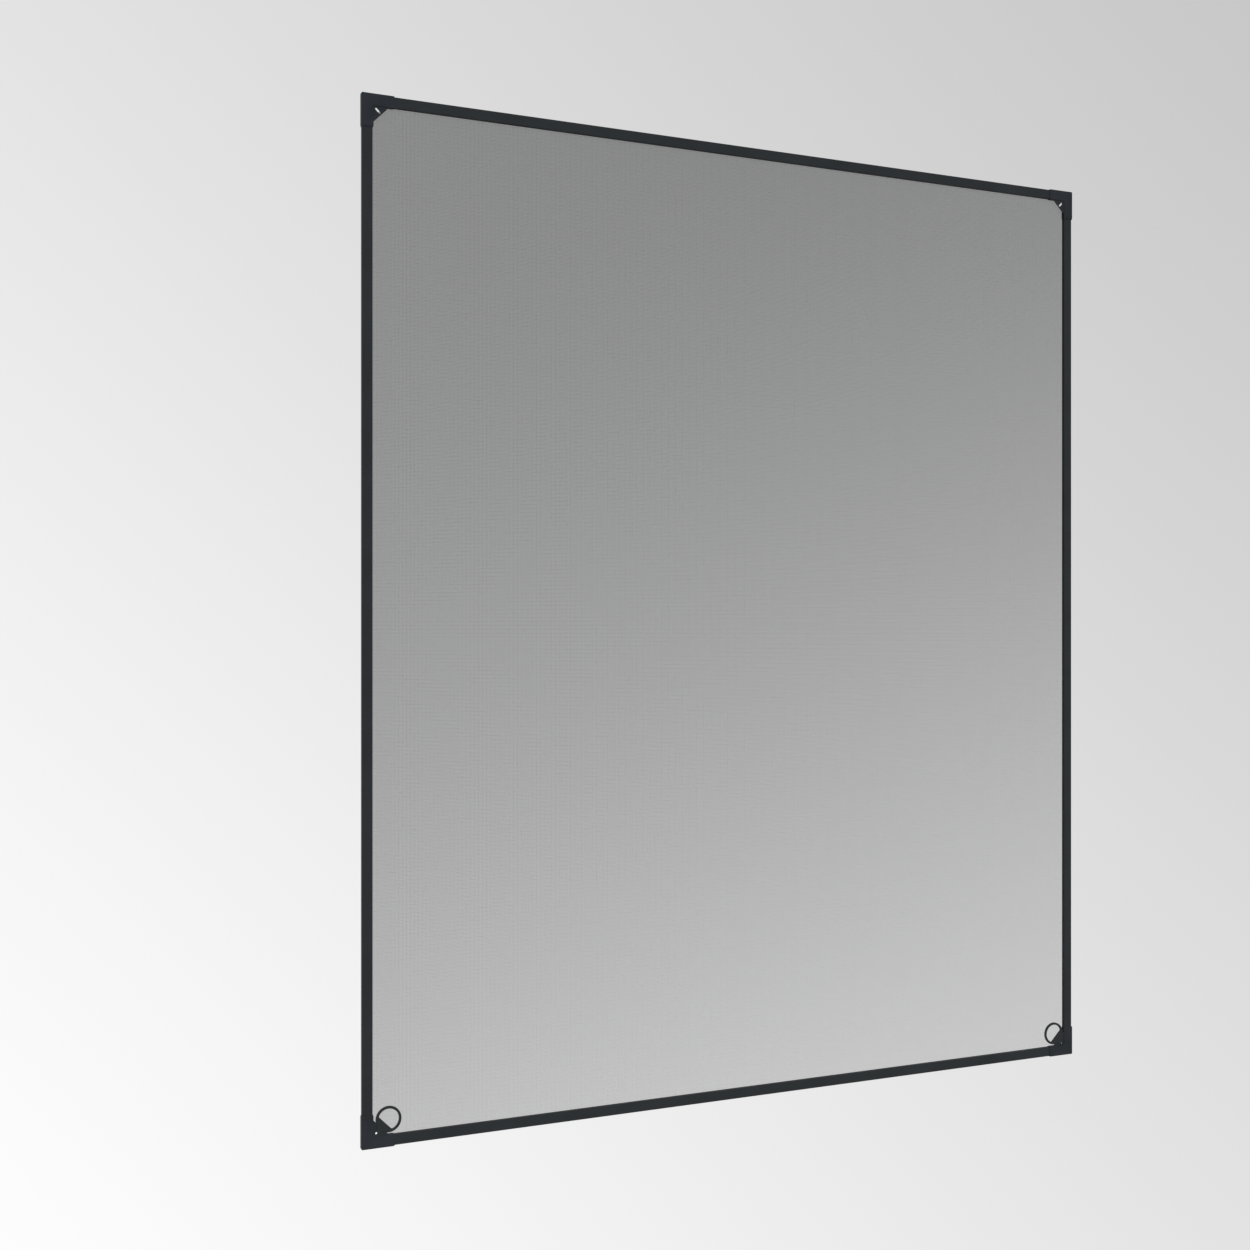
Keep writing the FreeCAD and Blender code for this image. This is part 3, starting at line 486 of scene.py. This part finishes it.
def cloth_sheet(cloth, half_width, half_height, level, floor_level, end_x, end_z):
    """The cut cloth as one surface: an eight-sided sheet whose four long edges fold down into the grooves and
    run out along their floors."""
    cut_x, cut_z = half_width - cloth.corner_cut, half_height - cloth.corner_cut
    shape = bmesh.new()

    def point(x, y, z):
        return shape.verts.new((x, y, z))

    outline = []
    for side_x, side_z, along_x in ((-1, -1, True), (1, -1, False), (1, 1, True), (-1, 1, False)):
        on_end = point(side_x * cut_x, level, side_z * half_height)
        on_side = point(side_x * half_width, level, side_z * cut_z)
        outline += [on_side, on_end] if along_x else [on_end, on_side]
    shape.faces.new(outline)
    corners = len(outline)
    for index in range(1, corners, 2):
        rim = [outline[index], outline[(index + 1) % corners]]
        upright = abs(rim[0].co.x - rim[1].co.x) < abs(rim[0].co.z - rim[1].co.z)
        # first straight down to the groove's floor, then outwards along it
        for run_x, run_z in ((0, 0), (end_x - half_width, 0) if upright else (0, end_z - half_height)):
            below = [point(vertex.co.x + math.copysign(run_x, vertex.co.x), floor_level,
                           vertex.co.z + math.copysign(run_z, vertex.co.z)) for vertex in rim]
            shape.faces.new((rim[1], rim[0], *below))
            rim = below
    bmesh.ops.recalc_face_normals(shape, faces=shape.faces)
    mesh = bpy.data.meshes.new("fly_cloth")
    shape.to_mesh(mesh)
    shape.free()
    return mesh


def thread_tree(material):
    """Geometry Nodes tree of the raised threads: one set of straight threads up and one across, each as long as
    the eight-sided cloth is there."""
    tree = bpy.data.node_groups.new("Raised threads", "GeometryNodeTree")
    for name in ("Half Width", "Half Height", "Corner Cut", "Level", "Pitch", "Thread Radius"):
        tree.interface.new_socket(name, in_out="INPUT", socket_type="NodeSocketFloat")
    tree.interface.new_socket("Geometry", in_out="OUTPUT", socket_type="NodeSocketGeometry")
    given = add_node(tree, "NodeGroupInput").outputs

    def calculate(operation, first, second=None):
        node = add_node(tree, "ShaderNodeMath", operation=operation)
        for slot, value in enumerate((first, second)):
            if isinstance(value, (int, float)):
                node.inputs[slot].default_value = value
            elif value is not None:
                tree.links.new(value, node.inputs[slot])
        return node.outputs["Value"]

    thread = add_node(tree, "GeometryNodeMeshCylinder", None, {"Vertices": 6, "Radius": 1.0, "Depth": 1.0})
    sets = []
    for axis, spread, reach, turn, side in (("X", "Half Width", "Half Height", 0, 1),
                                            ("Z", "Half Height", "Half Width", 90, -1)):
        steps = calculate("FLOOR", calculate("DIVIDE", given[spread], given["Pitch"]))
        first = calculate("MULTIPLY", calculate("MULTIPLY", steps, given["Pitch"]), -1)
        # each set lies half a radius to its own side of the sheet's middle
        level = calculate("ADD", given["Level"], calculate("MULTIPLY", given["Thread Radius"], 0.5 * side))
        start, step = (add_node(tree, "ShaderNodeCombineXYZ") for _ in range(2))
        tree.links.new(first, start.inputs[axis])
        tree.links.new(level, start.inputs["Y"])
        tree.links.new(given["Pitch"], step.inputs[axis])
        count = calculate("ADD", calculate("MULTIPLY", steps, 2), 1)
        line = add_node(tree, "GeometryNodeMeshLine", {"Count": count, "Start Location": start.outputs["Vector"],
                                                      "Offset": step.outputs["Vector"]})
        place = add_node(tree, "ShaderNodeSeparateXYZ",
                         {0: add_node(tree, "GeometryNodeInputPosition").outputs["Position"]})
        past_cut = calculate("SUBTRACT", calculate("ABSOLUTE", place.outputs[axis]),
                             calculate("SUBTRACT", given[spread], given["Corner Cut"]))
        length = calculate("MULTIPLY", calculate("SUBTRACT", given[reach], calculate("MAXIMUM", past_cut, 0)), 2)
        stretch = add_node(tree, "ShaderNodeCombineXYZ", {"X": given["Thread Radius"], "Y": given["Thread Radius"],
                                                         "Z": length})
        laid = add_node(tree, "GeometryNodeInstanceOnPoints",
                        {"Points": line.outputs["Mesh"], "Instance": thread.outputs["Mesh"],
                         "Scale": stretch.outputs["Vector"]},
                        {"Rotation": (0, math.radians(turn), 0)})
        sets.append(laid.outputs["Instances"])
    joined = add_node(tree, "GeometryNodeJoinGeometry")
    for laid in sets:
        tree.links.new(laid, joined.inputs["Geometry"])
    real = add_node(tree, "GeometryNodeRealizeInstances", {"Geometry": joined.outputs["Geometry"]})
    painted = add_node(tree, "GeometryNodeSetMaterial", {"Geometry": real.outputs["Geometry"]},
                       {"Material": material})
    add_node(tree, "NodeGroupOutput", {"Geometry": painted.outputs["Geometry"]})
    return tree


def made_by(tree, name, sizes):
    """A plain mesh object made by a Geometry Nodes tree with these sizes."""
    maker = bpy.data.objects.new(name + "_maker", bpy.data.meshes.new(name + "_maker"))
    bpy.context.scene.collection.objects.link(maker)
    modifier = maker.modifiers.new(name, "NODES")
    modifier.node_group = tree
    for socket in tree.interface.items_tree:
        if socket.in_out == "INPUT":
            modifier[socket.identifier] = float(sizes[socket.name])
    evaluated = maker.evaluated_get(bpy.context.evaluated_depsgraph_get())
    mesh = bpy.data.meshes.new_from_object(evaluated)
    mesh.name = name
    maker.modifiers.remove(modifier)
    bpy.data.objects.remove(maker)
    piece = bpy.data.objects.new(name, mesh)
    bpy.context.scene.collection.objects.link(piece)
    return piece


class SCREEN_OT_cloth(Operator):
    """The fly cloth with its folded edges, and its raised threads"""

    bl_idname = "screen_kit.cloth"
    bl_label = "Fly cloth"

    def execute(self, context):
        finishes, cloth = context.scene.screen_finishes, context.scene.screen_cloth_sizes
        low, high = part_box(CLOTH_NODE)
        half_width, half_height = high.x - cloth.turn_in, high.z - cloth.turn_in
        level = high.y - cloth.ridge - cloth.thickness / 2
        floor_level = low.y + cloth.thickness / 2
        woven = fly_cloth("Woven coated glass yarn", finishes.yarn, cloth, half_width, half_height)
        # the threads stop only a little more light, so that they barely show from a few steps away
        raised = fly_cloth("Raised glass yarn", finishes.yarn, cloth, half_width, half_height, cloth.thread_cover)
        mesh = cloth_sheet(cloth, half_width, half_height, level, floor_level, high.x, high.z)
        mesh.materials.append(woven)
        sheet = bpy.data.objects.new("fly_cloth", mesh)
        context.scene.collection.objects.link(sheet)
        fold = sheet.modifiers.new("Fold", "BEVEL")
        fold.width, fold.segments, fold.limit_method = cloth.fold_radius, 2, "ANGLE"
        wall = sheet.modifiers.new("Thickness", "SOLIDIFY")
        wall.thickness, wall.offset, wall.use_even_offset = cloth.thickness, 0, True

        threads = made_by(thread_tree(raised), "fly_cloth_threads", {
            "Half Width": half_width, "Half Height": half_height, "Corner Cut": cloth.corner_cut, "Level": level,
            "Pitch": cloth.yarn_pitch * cloth.drawn_every, "Thread Radius": cloth.yarn_width / 2})

        for piece in (sheet, threads):
            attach(piece, BODY)
        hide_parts(CLOTH_NODE)
        # the flap along each side stops where the corners are cut off
        return {"FINISHED"}


class VIEW3D_PT_insect_screen(Panel):
    """Lists the steps that dress the screen"""

    bl_label = "Insect Screen"
    bl_space_type = "VIEW_3D"
    bl_region_type = "UI"
    bl_category = "Insect Screen"

    def draw(self, context):
        for step in STEPS:
            self.layout.operator(step.bl_idname)


GROUPS = {"screen_finishes": ScreenFinishes, "screen_cloth_sizes": ClothSizes, "screen_stage": StageSettings}
STEPS = (SCREEN_OT_stage, SCREEN_OT_rails, SCREEN_OT_corners, SCREEN_OT_rings, SCREEN_OT_strips, SCREEN_OT_cloth)


def register():
    for group in (*GROUPS.values(), *STEPS, VIEW3D_PT_insect_screen):
        bpy.utils.register_class(group)
    for name, group in GROUPS.items():
        setattr(bpy.types.Scene, name, PointerProperty(type=group))


def unregister():
    for name in GROUPS:
        delattr(bpy.types.Scene, name)
    for group in reversed((*GROUPS.values(), *STEPS, VIEW3D_PT_insect_screen)):
        bpy.utils.unregister_class(group)


def main():
    register()
    for step in STEPS:
        family, name = step.bl_idname.split(".")
        getattr(getattr(bpy.ops, family), name)()


if __name__ == "__main__":
    main()
